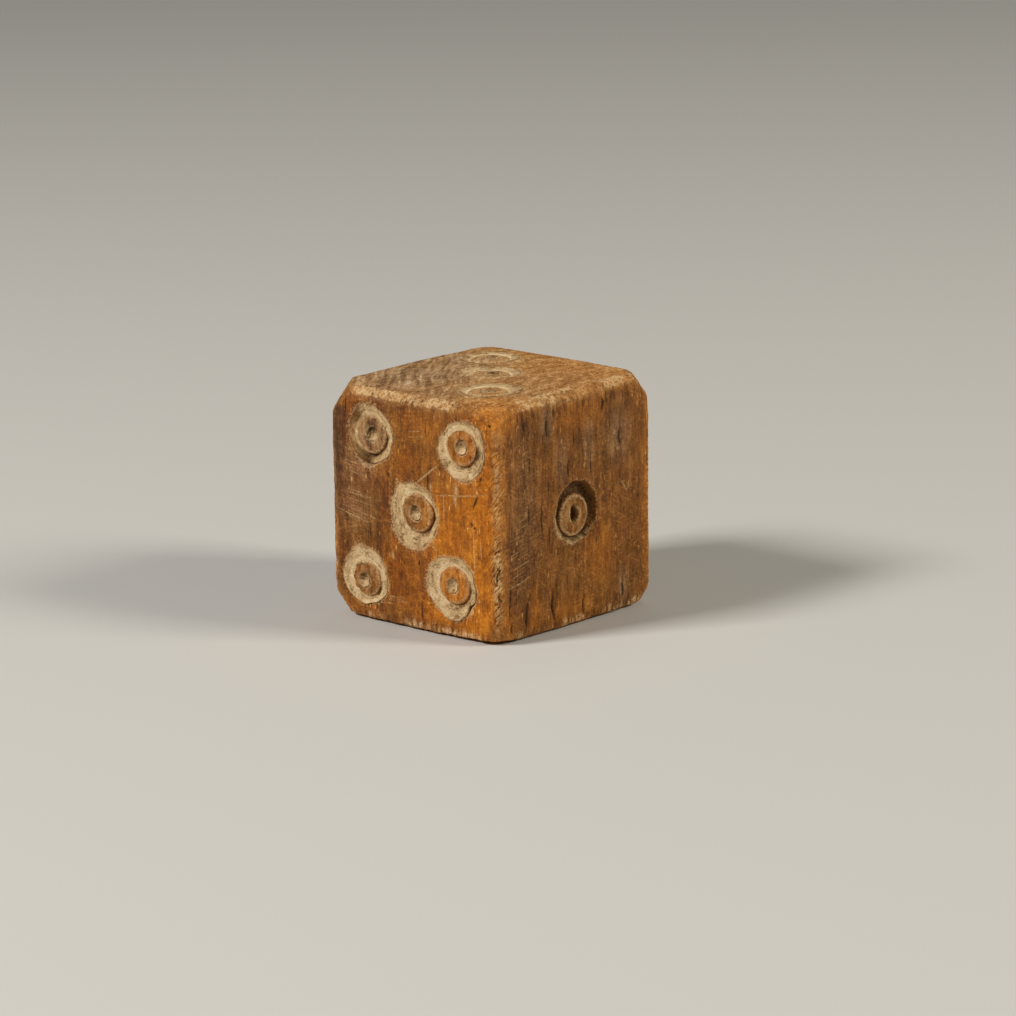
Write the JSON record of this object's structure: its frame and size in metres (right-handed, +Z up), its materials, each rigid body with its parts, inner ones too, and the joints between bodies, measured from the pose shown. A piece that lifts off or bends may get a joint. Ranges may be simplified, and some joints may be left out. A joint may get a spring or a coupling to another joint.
{
  "type": "hand-cut wooden die",
  "caption": "Old hand-cut wooden game die: a worn, bevelled cube with ring-and-dot pips cut into each face and packed with pale earth.",
  "frame": {"origin": "middle of the footprint, on the surface the die stands on", "axes": "+Z up through the three, -Y out of the five, +X out of the one; opposite faces add up to seven"},
  "size_m": [0.0156, 0.016, 0.0162],
  "materials": {
    "wood": "satin",
    "earth": "matte"
  },
  "bodies": {
    "root": {"die_body": "wood", "five_dot_fill_1": "earth", "five_dot_fill_2": "earth", "five_dot_fill_3": "earth", "five_dot_fill_4": "earth", "five_dot_fill_5": "earth", "five_ring_fill_1": "earth", "five_ring_fill_2": "earth", "five_ring_fill_3": "earth", "five_ring_fill_4": "earth", "five_ring_fill_5": "earth", "four_dot_fill_1": "earth", "four_dot_fill_2": "earth", "four_dot_fill_3": "earth", "four_dot_fill_4": "earth", "four_ring_fill_1": "earth", "four_ring_fill_2": "earth", "four_ring_fill_3": "earth", "four_ring_fill_4": "earth", "one_ring_fill_1": "earth", "six_dot_fill_1": "earth", "six_dot_fill_2": "earth", "six_dot_fill_3": "earth", "six_dot_fill_4": "earth", "six_dot_fill_5": "earth", "six_dot_fill_6": "earth", "six_ring_fill_1": "earth", "six_ring_fill_2": "earth", "six_ring_fill_3": "earth", "six_ring_fill_4": "earth", "six_ring_fill_5": "earth", "six_ring_fill_6": "earth", "three_dot_fill_1": "earth", "three_dot_fill_2": "earth", "three_dot_fill_3": "earth", "three_ring_fill_1": "earth", "three_ring_fill_2": "earth", "three_ring_fill_3": "earth", "two_dot_fill_1": "earth", "two_dot_fill_2": "earth", "two_ring_fill_1": "earth", "two_ring_fill_2": "earth"}
  },
  "joints": []
}
